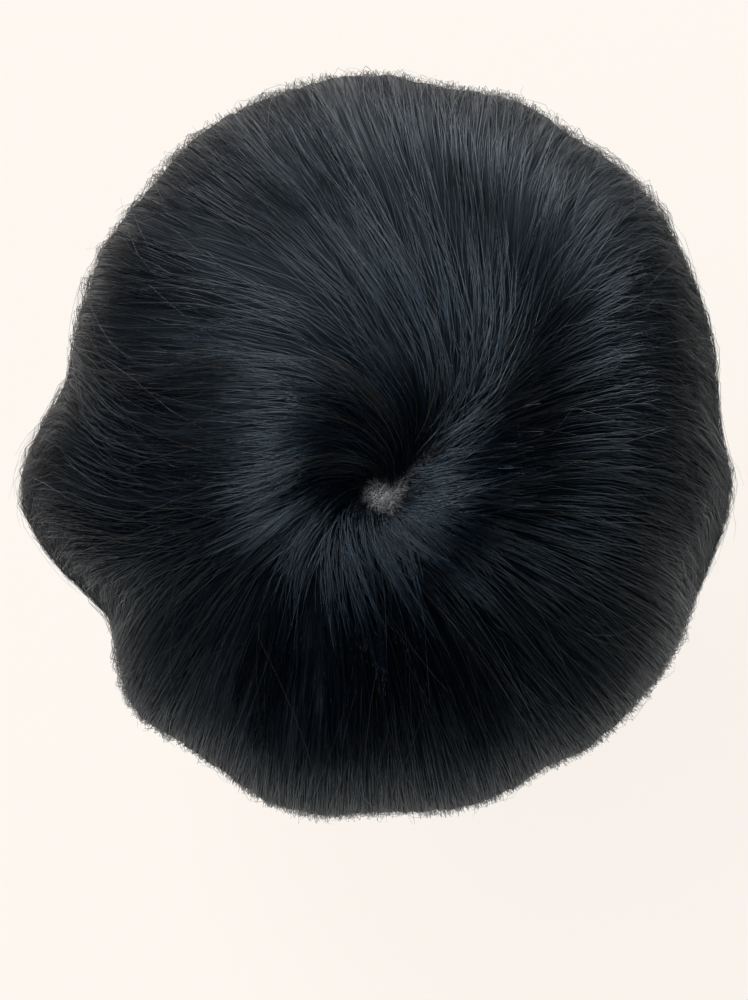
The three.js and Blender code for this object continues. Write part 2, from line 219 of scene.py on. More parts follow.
@dataclass(frozen=True)
class SeatForm:
    """The oval form that the topper is shaped to, and the lie of the hair on it, in metres and degrees.

    The gap lies behind the lock that falls on the right, and its depth is in millimetres. The patch is where
    the base shows at the whorl, and the part is the thin line that runs from it. The patch's waves are counts
    round the whorl, heights and phases.
    """

    half_width: float = 76 * MM
    half_length: float = 95 * MM
    crown: float = 100 * MM
    whorl_tilt: float = 42.0
    whorl_lift: float = 2.2 * MM
    whorl_arc: float = 11.0
    shares: tuple[float, ...] = (0.1, 0.4, 0.8, 1.05)
    flow_arcs: tuple[float, ...] = (8.0, 25.0, 55.0, 74.0, 92.0)
    pole: float = 0.9
    least_arc: float = 2.0
    most_arc: float = 150.0
    widest: float = 77.0
    hem_share: float = 0.92
    rim_fold: float = 1.08
    lobe_shares: Span = (0.35, 0.7)
    gap_bearing: float = -4.5
    gap_arc: float = 66.0
    gap_slant: float = 0.25
    gap_width: float = 3.0
    gap_length: float = 5.0
    gap_depth: float = 6.0
    bare_arc: float = 2.9
    patch_wide: float = 0.8
    patch_left: float = 0.25
    patch_waves: tuple[tuple[int, float, float], ...] = ((5, 0.18, 0.0), (11, 0.15, 1.0))
    part_bearing: float = 44.0
    part_arc: float = 11.0
    part_width: float = 9.0

    def centre(self) -> Array:
        """The middle of the form at its widest level."""
        return np.array([0.0, 0.0, -self.crown])

    def points(self, arc: Array, bearing: Array, lift: Array) -> Array:
        """Places points over the form.

        Args:
            arc: Arcs from the whorl.
            bearing: Bearings round it.
            lift: Heights over the form, in metres.

        Returns:
            The points.
        """
        tilt = math.radians(self.whorl_tilt)
        whorl = np.array([0.0, -math.sin(tilt), math.cos(tilt)])
        ahead = np.array([0.0, math.cos(tilt), math.sin(tilt)])
        across = np.array([1.0, 0.0, 0.0])
        a, b = np.radians(arc)[..., None], np.radians(bearing)[..., None]
        out = np.cos(a) * whorl + np.sin(a) * (np.cos(b) * across + np.sin(b) * ahead)
        sizes = np.array([self.half_width, self.half_length, self.crown])
        radius = 1.0 / np.linalg.norm(out / sizes, axis=-1) + lift
        return out * radius[..., None] + self.centre()

    def reach(self, bearing: Array) -> Array:
        """The arc at which the hair ends, by bearing."""
        rows = np.array(HAIR_FORM)
        return around(rows[:, 0], rows[:, 1], bearing)

    def thickness(self, arc: Array, bearing: Array) -> Array:
        """The hair's thickness in metres, which climbs steeply out of the whorl."""
        full = MM * through(self.shares, read(HAIR_FORM, 2, bearing), arc / self.reach(bearing))
        return self.whorl_lift + (full - self.whorl_lift) * smoothstep(0.0, self.whorl_arc, arc)

    def lobes(self, arc: Array, bearing: Array) -> Array:
        """Gives the lobes of the hair's edge, and the gap behind the lock that falls on the right.

        Args:
            arc: Arcs from the whorl.
            bearing: Bearings round it.

        Returns:
            What the lobes and the gap add to the thickness, in metres.
        """
        out = read(LOBES, 1, bearing)[0] * smoothstep(*self.lobe_shares, arc / self.reach(bearing))
        aside = apart(bearing, self.gap_bearing)
        beyond = (arc - self.gap_arc - self.gap_slant * aside) / self.gap_width
        gap = np.exp(-(beyond**2) - (aside / self.gap_length) ** 2)
        return MM * (out - self.gap_depth * gap)

    def rim(self, arc: Array, bearing: Array) -> Array:
        """How near the hair's widest line or its ends a place is: about 1 there, less on both sides."""
        near = np.maximum(arc / self.widest, arc / self.reach(bearing) / self.hem_share)
        return near - 2.0 * np.maximum(near - self.rim_fold, 0.0)

    def opening(self, bearing: Array) -> Array:
        """The arc to which the base shows: an uneven patch at the whorl, with a thin wedge along the part."""
        off = apart(bearing, self.part_bearing) / self.part_width
        return self.bare_arc * self.patch(bearing) + self.part_arc * np.exp(-off * off)

    def patch(self, bearing: Array) -> Array:
        """Tells how far the bare patch at the whorl reaches each way: widest to the left.

        Args:
            bearing: Bearings round the whorl.

        Returns:
            Shares of the patch's height.
        """
        turn = np.radians(bearing)
        share = 1.0 + (self.patch_wide * np.cos(turn) ** 2 - self.patch_left * np.cos(turn))
        for count, height, phase in self.patch_waves:
            share = share + height * np.sin(count * turn + phase)
        return share

    def turn(self, arc: Array, bearing: Array) -> Array:
        """The way that the hair lies, in degrees anticlockwise from straight outwards."""
        return through(self.flow_arcs, read(HAIR_FLOW, 1, bearing), arc)

    def follow(self, arc: Array, bearing: Array, turns: Array, step: float) -> tuple[Array, Array]:
        """Follows the lie of the hair from many places at once.

        Args:
            arc: Arcs where the lines start.
            bearing: Bearings where they start.
            turns: Each line's own turn away from the lie at each step, lines by steps.
            step: Length of a step in metres; a negative one runs back towards the roots.

        Returns:
            The arcs and the bearings along each line, lines by steps and the start.
        """
        arcs, bearings = [arc], [bearing]
        for k in range(turns.shape[1]):
            way = np.radians(self.turn(arc, bearing) + turns[:, k])
            held = (arc <= self.pole) & (step < 0)
            ahead = np.degrees(step * np.cos(way) / self.crown)
            radius = self.crown * np.sin(np.radians(np.clip(arc, self.least_arc, self.most_arc)))
            aside = np.degrees(step * np.sin(way) / radius)
            arc = np.where(held, arc, np.clip(arc + ahead, self.pole, self.most_arc))
            bearing = np.where(held, bearing, bearing + aside)
            arcs.append(arc)
            bearings.append(bearing)
        return np.stack(arcs, axis=1), np.stack(bearings, axis=1)


SEAT = SeatForm()


class Lie(Enum):
    """How a lock lies among the others."""

    DEEP = "deep"
    TOP = "top"
    WHORL = "whorl"
    SHORT = "short"
    EDGE = "edge"
    KNOT = "knot"
    STRAY = "stray"
    WISP = "wisp"


@dataclass(frozen=True)
class LieSizes:
    """The part of the strands that lie one way, how they run and how they gather; lengths in millimetres.

    Some climb from their roots at a slope. Some keep within an arc of the whorl or beyond a share of the way.
    """

    part: float
    in_lock: int
    before: Span
    after: Span
    depth: Span
    heading: float
    lock_width: float
    tip_width: float
    flick: float
    width: float
    stand: float = 0.0
    within: float = 180.0
    beyond: float = 0.0
    # Painted catch-light: how much lighter the lie's strands are made, standing in for light caught by knots,
    # strays and wisps.
    painted_catchlight: float = 0.0
    least: float = 16.0
    in_opening: bool = False


LIES: dict[Lie, LieSizes] = {
    Lie.DEEP: LieSizes(0.03, 10, (15, 50), (40, 90), (0.80, 0.90), 6.0, 2.8, 2.4, 0.6, 0.26),
    Lie.TOP: LieSizes(0.60, 5, (15, 60), (40, 100), (0.95, 1.00), 4.0, 3.0, 2.7, 0.35, 0.21),
    Lie.WHORL: LieSizes(
        0.13, 7, (30, 40), (16, 32), (0.92, 1.00), 9.0, 2.2, 1.7, 0.8, 0.21, stand=0.66, within=9.0
    ),
    Lie.SHORT: LieSizes(0.11, 5, (15, 40), (12, 40), (0.92, 1.01), 8.0, 2.0, 1.6, 0.8, 0.18),
    Lie.EDGE: LieSizes(0.26, 4, (12, 40), (20, 40), (0.96, 1.02), 4.0, 2.4, 2.4, 0.4, 0.15, beyond=0.42),
    Lie.KNOT: LieSizes(
        0.03, 1, (0.2, 0.5), (0.7, 1.2), (1.0, 1.0), 60.0, 1.0, 1.0, 0.1, 0.24,
        stand=0.9, within=2.6, painted_catchlight=0.75, least=0.9, in_opening=True,
    ),
    Lie.STRAY: LieSizes(0.07, 1, (10, 50), (15, 50), (1.00, 1.03), 16.0, 1.0, 1.0, 1.4, 0.15, painted_catchlight=0.6),
    Lie.WISP: LieSizes(
        0.05, 1, (8, 25), (15, 45), (0.98, 1.03), 50.0, 1.0, 1.0, 1.2, 0.12, beyond=0.62, painted_catchlight=0.3, least=9.0
    ),
}


@dataclass(frozen=True)
class LockForm:
    """What all locks share: where they start and end, how they lift, spread and thin, and their painted rim
    light.

    Arcs and bearings are in degrees. Swell, loose, loosest, own lift, wave, wander and full least are in
    millimetres, and turn lengths, settled, later and sooner in steps along a lock. What has MM is in metres, and
    the rest are shares and counts.
    """

    spot_end: float = 0.96
    spot_start: float = 4.0
    spot_inner: float = 0.2
    drift_arc: float = 90.0
    knot_spread: float = 7.0
    turn_lengths: Span = (28.0, 52.0)
    turn_waves: float = 0.6
    turn_own: float = 0.45
    over: Span = (0.09, 0.015)
    over_limits: Span = (0.05, 0.13)
    over_power: float = 1.5
    nape_reach: float = 64.0
    loose_shorter: float = 0.06
    over_edge: float = 0.56
    full_least: float = 16.0
    settled: int = 3
    whorl_arc: float = 8.0
    later: Span = (0.25, 1.5)
    sooner: float = 1.1
    part_width: float = 19.0
    part_length: float = 23 * MM
    part_arcs: Span = (12.0, 4.0)
    part_late: Span = (0.3, 1.0)
    root_rise: float = 0.55
    rise_length: float = 30 * MM
    swell: float = 0.35
    swell_shares: Span = (0.1, 0.5)
    flick_along: Span = (0.7, 1.0)
    loose: float = 0.35
    loosest: float = 1.9
    loose_rim: Span = (0.6, 1.0)
    own_lift: float = 0.35
    slopes: Span = (0.75, 1.2)
    levelling: float = 0.35
    least_lift: float = 1.8 * MM
    aside: float = 0.6
    most_aside: float = 1.4
    gather_along: Span = (0.2, 1.0)
    wave: float = 0.15
    wave_counts: Span = (0.5, 1.6)
    wander: float = 0.9
    widths: Span = (0.7, 1.25)
    edge_thinner: float = 0.4
    thin_rim: Span = (0.65, 1.0)
    streak: float = 0.10
    streaks: float = 11.0
    shade_spread: float = 0.2
    lock_shade_spread: float = 0.12
    shade_share: float = 0.7
    # Painted rim light: each strand's random strength, and the band of the rim over which it grows.
    rim_light_spread: Span = (0.2, 1.8)
    rim_light_band: Span = (0.68, 1.02)
    # Painted glint: how much brighter the knots at the whorl are made, for light caught by the cut root ends.
    knot_painted_glint: float = 0.45


LOCK = LockForm()


@dataclass(frozen=True)
class TubeForm:
    """The form of a strand's tube, as shares of its width, and of its strip on the map."""

    sides: int = 3
    first_corner: float = 0.25
    root: float = 0.55
    swelling: float = 3.0
    tip_roundness: float = 1.04
    margin: float = 0.02
    shades: float = 0.94
    strip: float = 0.012
    length: float = 0.96


TUBE = TubeForm()


class Strands(NamedTuple):
    """The middle lines of many strands, and the width and the shade of each along the way."""

    lines: Array
    width: Array
    shade: Array


class Locks(NamedTuple):
    """The middle lines of locks, as arcs and bearings by steps, and the steps where each starts and ends."""

    arcs: Array
    bearings: Array
    root: Array
    tip: Array


class Course(NamedTuple):
    """Where strands run: the lock of each, and at each ring its share along, place, run in metres and rim."""

    which: Array
    along: Array
    arc: Array
    bearing: Array
    run: Array
    rim: Array


def strand_mesh(name: str, strands: Strands) -> bpy.types.Object:
    """Joins many strands into one mesh: each is a thin closed three-sided tube that ends in a point.

    Args:
        name: The piece's name.
        strands: Middle lines, as strands by rings by 3, with widths and shades.

    Returns:
        The piece, with a map that runs along each strand.
    """
    sides = TUBE.sides
    lines, count, rings = strands.lines, *strands.lines.shape[:2]
    along = unit(np.gradient(lines, axis=1))
    across = unit(np.cross(along, lines - SEAT.centre()))
    up = np.cross(across, along)
    t = np.linspace(0.0, 1.0, rings)
    taper = np.minimum(1.0, TUBE.root + TUBE.swelling * t)
    taper = taper * np.sqrt(np.clip(TUBE.tip_roundness - t**3, 0.0, 1.0))
    half = 0.5 * (strands.width * taper[None, :])[..., None]
    turns = 2 * math.pi * (np.arange(sides) + TUBE.first_corner) / sides
    body = np.stack([lines + half * (math.cos(a) * across + math.sin(a) * up) for a in turns], axis=2)
    body = body[:, :-1].reshape(count, (rings - 1) * sides, 3)
    verts = np.concatenate([body, lines[:, -1:]], axis=1)
    per = verts.shape[1]
    ring = np.arange(rings - 2)[:, None] * sides
    side = np.arange(sides)
    after = (side + 1) % sides
    quads = np.stack([ring + side, ring + after, ring + sides + after, ring + sides + side], axis=-1)
    quads = quads.reshape(-1, 4)
    last = (rings - 2) * sides
    tips = np.stack([last + side, last + after, np.full(sides, per - 1)], axis=-1)
    tris = np.concatenate([tips, side[None, ::-1]])
    base = (np.arange(count) * per)[:, None, None]
    loops = np.concatenate([(base + quads).reshape(count, -1), (base + tris).reshape(count, -1)], axis=1)
    sizes = np.tile(np.concatenate([np.full(len(quads), 4), np.full(len(tris), 3)]), count)
    starts = np.concatenate([[0], np.cumsum(sizes)[:-1]])
    mesh = bpy.data.meshes.new(name)
    mesh.vertices.add(count * per)
    mesh.vertices.foreach_set("co", verts.astype(np.float32).ravel())
    mesh.loops.add(loops.size)
    mesh.loops.foreach_set("vertex_index", loops.astype(np.int32).ravel())
    mesh.polygons.add(len(sizes))
    mesh.polygons.foreach_set("loop_start", starts.astype(np.int32))
    mesh.polygons.foreach_set("loop_total", sizes.astype(np.int32))
    mesh.polygons.foreach_set("use_smooth", np.ones(len(sizes), dtype=bool))
    lay_map(mesh, quads, tris, rings, strands.shade)
    mesh.update(calc_edges=True)
    mesh.validate()
    piece = bpy.data.objects.new(name, mesh)
    bpy.context.collection.objects.link(piece)
    return piece


def lay_map(mesh: bpy.types.Mesh, quads: Array, tris: Array, rings: int, shade: Array) -> None:
    """Gives each strand a narrow upright strip of the map, placed by its shade.

    Args:
        mesh: The joined strands.
        quads: The four-cornered faces of one strand.
        tris: The three-cornered faces of one strand.
        rings: Rings along a strand, its tip included.
        shade: The strands' shades at each ring, 0 to 1.
    """
    ring = np.concatenate([quads.ravel(), tris.ravel()]) // TUBE.sides
    v = TUBE.margin + TUBE.length * (ring / (rings - 1))
    aside = np.concatenate([np.tile([0.0, 1.0, 1.0, 0.0], len(quads)), np.tile([0.0, 1.0, 0.5], len(tris))])
    u = TUBE.margin + TUBE.shades * shade[:, ring] + TUBE.strip * aside[None, :]
    layer = mesh.uv_layers.new(name="OFBake")
    both = np.stack([u, np.broadcast_to(v, u.shape)], axis=-1)
    layer.data.foreach_set("uv", both.astype(np.float32).ravel())


class Stop(NamedTuple):
    """One colour of a ramp, and its place from 0 to 1."""

    place: float
    colour: Colour


WHOLE: Span = (0.0, 1.0)
HAIR_SHEEN: Colour = (0.62, 0.82, 1.0, 1)

# The mix node's colour sockets share their names with its other sockets, so they are found by number.
MIX_FACTOR, MIX_FIRST, MIX_SECOND, MIX_RESULT = 0, 6, 7, 2


@dataclass
class Recipe:
    """A material in the making, with short ways to add its nodes and join them."""

    name: str

    def __post_init__(self) -> None:
        """Starts the material."""
        self.material = bpy.data.materials.new(self.name)
        self.material.use_nodes = True
        self.tree = self.material.node_tree

    def join(self, node: bpy.types.Node, inputs: dict[str | int, object]) -> None:
        """Sets a node's inputs.

        Args:
            node: The node.
            inputs: For each input a value, or a socket that feeds it.
        """
        for key, value in inputs.items():
            if isinstance(value, Socket):
                self.tree.links.new(value, node.inputs[key])
            else:
                node.inputs[key].default_value = value

    def add(self, kind: str, inputs: dict[str | int, object], **settings: object) -> bpy.types.Node:
        """Adds a node.

        Args:
            kind: The node's kind.
            inputs: For each input a value, or a socket that feeds it.
            settings: The node's own settings.

        Returns:
            The node.
        """
        node = self.tree.nodes.new("ShaderNode" + kind)
        for setting, value in settings.items():
            setattr(node, setting, value)
        self.join(node, inputs)
        return node

    def finish(self, inputs: dict[str | int, object]) -> bpy.types.Material:
        """Sets the shader's inputs and hands over the material."""
        self.join(self.tree.nodes["Principled BSDF"], inputs)
        return self.material

    def object_place(self) -> Socket:
        """Reads the place on the object."""
        return self.add("TexCoord", {}).outputs["Object"]

    def flat_map(self, name: str) -> tuple[Socket, Socket, Socket]:
        """Reads a map of the mesh: its two numbers together, then each alone."""
        both = self.add("UVMap", {}, uv_map=name).outputs["UV"]
        return both, *self.add("SeparateXYZ", {"Vector": both}).outputs[:2]

    def ramp(self, value: Socket, stops: tuple[Stop, ...]) -> Socket:
        """Turns a value into a colour.

        Args:
            value: The value, 0 to 1.
            stops: The colours in order, at least two.

        Returns:
            The colour.
        """
        node = self.add("ValToRGB", {"Fac": value})
        elements = node.color_ramp.elements
        for element, stop in zip(elements, (stops[0], stops[-1])):
            element.position, element.color = stop
        for stop in stops[1:-1]:
            elements.new(stop.place).color = stop.colour
        return node.outputs["Color"]

    def ranged(self, value: Socket, old: Span, new: Span, easing: str = "LINEAR") -> Socket:
        """Maps one range of values to another, held at both ends."""
        ends = {"Value": value, "From Min": old[0], "From Max": old[1], "To Min": new[0], "To Max": new[1]}
        return self.add("MapRange", ends, interpolation_type=easing).outputs["Result"]

    def vector(self, operation: str, first: Socket, **second: object) -> bpy.types.Node:
        """Adds a step of vector arithmetic, with the input that it works with, where it has one."""
        return self.add("VectorMath", {0: first} | second, operation=operation)

    def mixed(self, factor: Socket, first: Socket, second: Socket) -> Socket:
        """Mixes two colours: 0 gives the first, 1 the second."""
        inputs = {MIX_FACTOR: factor, MIX_FIRST: first, MIX_SECOND: second}
        return self.add("Mix", inputs, data_type="RGBA").outputs[MIX_RESULT]

    def bump(self, height: Socket, strength: float, distance: float, invert: bool = False) -> Socket:
        """Gives the surface a fine relief, its distance in metres."""
        inputs = {"Height": height, "Strength": strength, "Distance": distance}
        return self.add("Bump", inputs, invert=invert).outputs["Normal"]


@dataclass(frozen=True)
class HairFinish:
    """Blue-black hair, shaded strand by strand; its brown shades are partly its own tone and partly a painted
    warm sheen, its palest are painted rim light.
    """

    name: str = "hair_strands"
    shades: tuple[Stop, ...] = (
        # The brown stop is partly the hair's own tone and partly a painted warm sheen; shades above 0.70 are
        # reached only through painted rim light and the knots' painted glint.
        Stop(0.0, (0.0001, 0.0008, 0.0024, 1)),
        Stop(0.45, (0.0004, 0.0022, 0.0060, 1)),
        Stop(0.70, (0.0250, 0.0200, 0.0170, 1)),
        Stop(1.0, (0.1900, 0.1800, 0.1740, 1)),
    )
    ior: float = 1.55
    sheen: float = 0.8
    roughness: Span = (0.22, 0.40)
    tip_along: Span = (0.55, 1.0)
    tip_pale_and_backlit: Span = (1.0, 2.0)

    def material(self) -> bpy.types.Material:
        """Makes the material, which reads the strands' own map.

        Returns:
            The material.
        """
        recipe = Recipe(self.name)
        _, shade, along = recipe.flat_map("OFBake")
        # Tips are made lighter: partly paler hair ends, partly painted backlight.
        lighter = recipe.ranged(along, self.tip_along, self.tip_pale_and_backlit)
        colour = recipe.vector("SCALE", recipe.ramp(shade, self.shades), Scale=lighter).outputs["Vector"]
        rough = recipe.ranged(shade, WHOLE, self.roughness)
        sheen = {"IOR": self.ior, "Specular IOR Level": self.sheen, "Specular Tint": HAIR_SHEEN}
        return recipe.finish({"Base Color": colour, "Roughness": rough} | sheen)


@dataclass(frozen=True)
class UnderFinish:
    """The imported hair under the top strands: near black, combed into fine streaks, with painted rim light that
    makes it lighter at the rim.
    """

    name: str = "hair_under"
    shades: tuple[Stop, ...] = (
        Stop(0.42, (0.0001, 0.0005, 0.0014, 1)),
        Stop(0.64, (0.0060, 0.0076, 0.0105, 1)),
    )
    painted_rim_shades: tuple[Stop, ...] = (
        Stop(0.42, (0.0060, 0.0062, 0.0068, 1)),
        Stop(0.64, (0.1300, 0.1220, 0.1170, 1)),
    )
    sheen: float = 0.4
    streaks: tuple[float, float, float] = (1000, 5, 1)
    detail: float = 3.0
    grain: float = 0.65
    painted_rim_band: Span = (0.7, 1.02)
    rough_noise: Span = (0.38, 0.66)
    roughness: Span = (0.9, 0.34)
    relief: float = 0.4 * MM

    def material(self) -> bpy.types.Material:
        """Makes the material, which streaks along the lines of flow.

        Returns:
            The material.
        """
        recipe = Recipe(self.name)
        flow, _, rim = recipe.flat_map("flow")
        combed = recipe.add("Mapping", {"Vector": flow, "Scale": self.streaks}).outputs["Vector"]
        clouds = {"Vector": combed, "Scale": 1.0, "Detail": self.detail, "Roughness": self.grain}
        noise = recipe.add("TexNoise", clouds).outputs["Fac"]
        # Painted rim light: the layer turns a lighter grey towards the rim, standing in for backlight through
        # the hair's edge.
        edge = recipe.ranged(rim, self.painted_rim_band, WHOLE, "SMOOTHSTEP")
        colour = recipe.mixed(edge, recipe.ramp(noise, self.shades), recipe.ramp(noise, self.painted_rim_shades))
        rough = recipe.ranged(noise, self.rough_noise, self.roughness)
        relief = recipe.bump(noise, 1.0, self.relief)
        sheen = {"Specular IOR Level": self.sheen, "Specular Tint": HAIR_SHEEN}
        return recipe.finish({"Base Color": colour, "Roughness": rough, "Normal": relief} | sheen)


@dataclass(frozen=True)
class NetFinish:
    """The base: matte pale net, specked with the dark knots that tie the hair in, with painted shade that
    darkens it away from the whorl.
    """

    name: str = "base_net"
    shades: tuple[Stop, ...] = (Stop(0.30, (0.012, 0.014, 0.017, 1)), Stop(0.72, (0.43, 0.42, 0.44, 1)))
    roughness: float = 0.75
    cells: float = 2300.0
    patch_sizes: tuple[float, float, float] = (9 * MM, 6 * MM, 6 * MM)
    dim_far: Span = (0.3, 1.1)
    painted_shade_span: Span = (1.0, 0.3)
    strength: float = 0.5
    relief: float = 0.2 * MM

    def material(self) -> bpy.types.Material:
        """Makes the material, with knots and threads on Object coordinates.

        Returns:
            The material.
        """
        recipe = Recipe(self.name)
        place = recipe.object_place()
        cells = recipe.add("TexVoronoi", {"Vector": place, "Scale": self.cells}).outputs["Distance"]
        patch = {"Location": tuple(SEAT.points(*np.zeros((3, 1)))[0]), "Scale": self.patch_sizes}
        away = recipe.add("Mapping", {"Vector": place} | patch, vector_type="TEXTURE").outputs["Vector"]
        # Painted shade: the net darkens away from the bare patch at the whorl, where the hair covers it.
        painted_shade = recipe.ranged(recipe.vector("LENGTH", away).outputs["Value"], self.dim_far, self.painted_shade_span)
        colour = recipe.vector("SCALE", recipe.ramp(cells, self.shades), Scale=painted_shade).outputs["Vector"]
        relief = recipe.bump(cells, self.strength, self.relief, invert=True)
        return recipe.finish({"Base Color": colour, "Roughness": self.roughness, "Normal": relief})


@dataclass(frozen=True)
class EnamelFinish:
    """Dark brown enamel on the comb clips, a little worn."""

    name: str = "clip_enamel"
    shades: tuple[Stop, ...] = (Stop(0.55, (0.020, 0.015, 0.012, 1)), Stop(0.8, (0.090, 0.080, 0.072, 1)))
    coat: float = 0.4
    coat_roughness: float = 0.2
    wear: float = 320.0
    detail: float = 5.0
    roughness: Span = (0.3, 0.5)

    def material(self) -> bpy.types.Material:
        """Makes the material, with faint wear on Object coordinates.

        Returns:
            The material.
        """
        recipe = Recipe(self.name)
        clouds = {"Vector": recipe.object_place(), "Scale": self.wear, "Detail": self.detail}
        noise = recipe.add("TexNoise", clouds).outputs["Fac"]
        look = {"Base Color": recipe.ramp(noise, self.shades)}
        look["Roughness"] = recipe.ranged(noise, WHOLE, self.roughness)
        return recipe.finish(look | {"Coat Weight": self.coat, "Coat Roughness": self.coat_roughness})


@dataclass(frozen=True)
class FloorFinish:
    """Pale cream studio floor, lit from within so that it stays even."""

    name: str = "studio_floor"
    shades: tuple[Stop, ...] = (Stop(0.0, (0.068, 0.065, 0.061, 1)), Stop(1.0, (0.070, 0.067, 0.063, 1)))
    roughness: float = 0.9
    sheen: float = 0.1
    clouds: float = 3.0
    glow: Colour = (1.0, 0.945, 0.885, 1)
    glow_strength: Span = (0.90, 0.0)
    glow_away: Span = (1.05, 1.6)
    pool_middle: tuple[float, float, float] = (0.0, 0.12, -0.27)
    pool_sides: tuple[float, float, float] = (0.27, 0.50, 1.0)

    def material(self) -> bpy.types.Material:
        """Makes the material, whose glow ends in an oval.

        Returns:
            The material.
        """
        recipe = Recipe(self.name)
        place = recipe.object_place()
        pool = {"Vector": place, "Location": self.pool_middle, "Scale": self.pool_sides}
        away = recipe.add("Mapping", pool, vector_type="TEXTURE").outputs["Vector"]
        far = recipe.vector("LENGTH", away).outputs["Value"]
        noise = recipe.add("TexNoise", {"Vector": place, "Scale": self.clouds}).outputs["Fac"]
        look = {"Base Color": recipe.ramp(noise, self.shades), "Emission Color": self.glow}
        look["Emission Strength"] = recipe.ranged(far, self.glow_away, self.glow_strength, "SMOOTHSTEP")
        return recipe.finish(look | {"Roughness": self.roughness, "Specular IOR Level": self.sheen})


@dataclass
class HairZone:
    """One zone of hair: strands between two bearings, gathered into locks that follow the lie of the hair."""

    name: str
    start: float
    stop: float
    count: int
    rings: int
    seed: int
    drift: Span = (0.0, 0.0)
    # Painted light: each zone's tone is partly painted sheen or painted shade, and the next field sets the
    # strength of its painted rim light.
    shade: float = 0.4
    fade: float = 0.5
    step: float = 4.0 * MM
    steps: tuple[int, int] = (30, 40)

    def __post_init__(self) -> None:
        """Starts the zone's own chance."""
        self.rng = np.random.default_rng(self.seed)

    def build(self, material: bpy.types.Material) -> bpy.types.Object:
        """Makes the zone's strands and dresses them.

        Args:
            material: The hair's finish.

        Returns:
            The piece, which stands for the zone's solid.
        """
        groups = [self.strands(sizes) for sizes in LIES.values()]
        joined = Strands(*(np.concatenate([getattr(g, part) for g in groups]) for part in Strands._fields))
        piece = strand_mesh(self.name, joined)
        piece.data.materials.append(material)
        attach(piece, "root")
        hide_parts(self.name)
        return piece

    def strands(self, sizes: LieSizes) -> Strands:
        """Lays out the strands of one lie.

        Args:
            sizes: The lie's sizes.

        Returns:
            The strands.
        """
        locks = self.locks(sizes)
        course = self.course(locks, sizes)
        lift = np.maximum(self.lift(locks, course, sizes), LOCK.least_lift)
        lines = SEAT.points(course.arc, course.bearing, lift)
        lines = lines + self.spread(lines, course, sizes)
        thinner = 1.0 - LOCK.edge_thinner * smoothstep(*LOCK.thin_rim, course.rim)
        width = MM * sizes.width * self.rng.uniform(*LOCK.widths, (len(lines), 1)) * thinner
        return Strands(lines, width, self.shades(locks, course, sizes))

    def spots(self, count: int, sizes: LieSizes) -> tuple[Array, Array]:
        """Draws places spread evenly over the zone.

        Args:
            count: How many to draw.
            sizes: The lie's sizes.

        Returns:
            Arcs and bearings.
        """
        side = self.rng.random(count)
        share = self.rng.random(count)
        bearing = self.start + (self.stop - self.start) * side
        reach = SEAT.reach(bearing)
        top = np.minimum(reach * LOCK.spot_end, sizes.within)
        bottom = np.maximum(reach * sizes.beyond, min(LOCK.spot_start, LOCK.spot_inner * sizes.within))
        low, high = np.cos(np.radians(bottom)), np.cos(np.radians(top))
        arc = np.degrees(np.arccos(low + (high - low) * share))
        if sizes.in_opening:
            if self.start < SEAT.part_bearing < self.stop:
                bearing = SEAT.part_bearing + self.rng.normal(0, LOCK.knot_spread, count)
            arc = arc * SEAT.opening(bearing) / SEAT.bare_arc
        swing = self.drift[0] + (self.drift[1] - self.drift[0]) * side
        return arc, bearing + swing * np.minimum(arc, LOCK.drift_arc) / LOCK.drift_arc

    def own_turns(self, locks: int, steps: int, heading: float) -> Array:
        """Draws the slow wandering of each lock away from the lie of the hair.

        Args:
            locks: How many locks.
            steps: Steps along each.
            heading: How far they turn, in degrees.

        Returns:
            Turns, locks by steps.
        """
        k = np.arange(steps)[None, :]
        waves = np.zeros((locks, steps))
        for length in LOCK.turn_lengths:
            height = self.rng.normal(0, LOCK.turn_waves, (locks, 1))
            waves += height * np.sin(2 * math.pi * (k / length + self.rng.random((locks, 1))))
        return heading * (waves + self.rng.normal(0, LOCK.turn_own, (locks, 1)))

    def locks(self, sizes: LieSizes) -> Locks:
        """Leads locks both ways from their spots, back to their roots and ahead to their ends.

        Args:
            sizes: The lie's sizes.

        Returns:
            The locks; those of more than one strand that come near the hair's edge go on past it.
        """
        count = max(1, int(self.count * sizes.part / sizes.in_lock))
        back, ahead = self.steps
        arc, bearing = self.spots(count, sizes)
        turns = self.own_turns(count, back + ahead, sizes.heading)
        arcs_back, bearings_back = SEAT.follow(arc, bearing, turns[:, :back], -self.step)
        arcs_ahead, bearings_ahead = SEAT.follow(arc, bearing, turns[:, back:], self.step)
        arcs = np.concatenate([arcs_back[:, :0:-1], arcs_ahead], axis=1)
        bearings = np.concatenate([bearings_back[:, :0:-1], bearings_ahead], axis=1)
        reach = SEAT.reach(bearings)
        shares = arcs / reach
        over = np.clip(self.rng.normal(*LOCK.over, count), *LOCK.over_limits)
        over = over - (LOCK.loose_shorter if sizes.in_lock == 1 else 0.0)
        past = shares >= 1.0 + over[:, None] * np.minimum(LOCK.nape_reach / reach, 1.0) ** LOCK.over_power
        behind, beyond = past[:, back - 1 :: -1], past[:, back:]
        held = (arcs_back[:, 1:] <= SEAT.pole + CLOSE).sum(axis=1)
        held = np.maximum(held, np.where(behind.any(axis=1), back - behind.argmax(axis=1), 0))
        root = np.maximum(back - MM * self.rng.uniform(*sizes.before, count) / self.step, held)
        ends = back + np.where(beyond.any(axis=1), beyond.argmax(axis=1), ahead)
        tip = np.minimum(back + MM * self.rng.uniform(*sizes.after, count) / self.step, ends)
        near_edge = shares[np.arange(count), np.minimum(tip, back + ahead).astype(int)] > LOCK.over_edge
        tip = np.where(near_edge & (sizes.in_lock > 1), ends, tip)
        return Locks(arcs, bearings, np.minimum(root, tip - sizes.least * MM / self.step), tip)

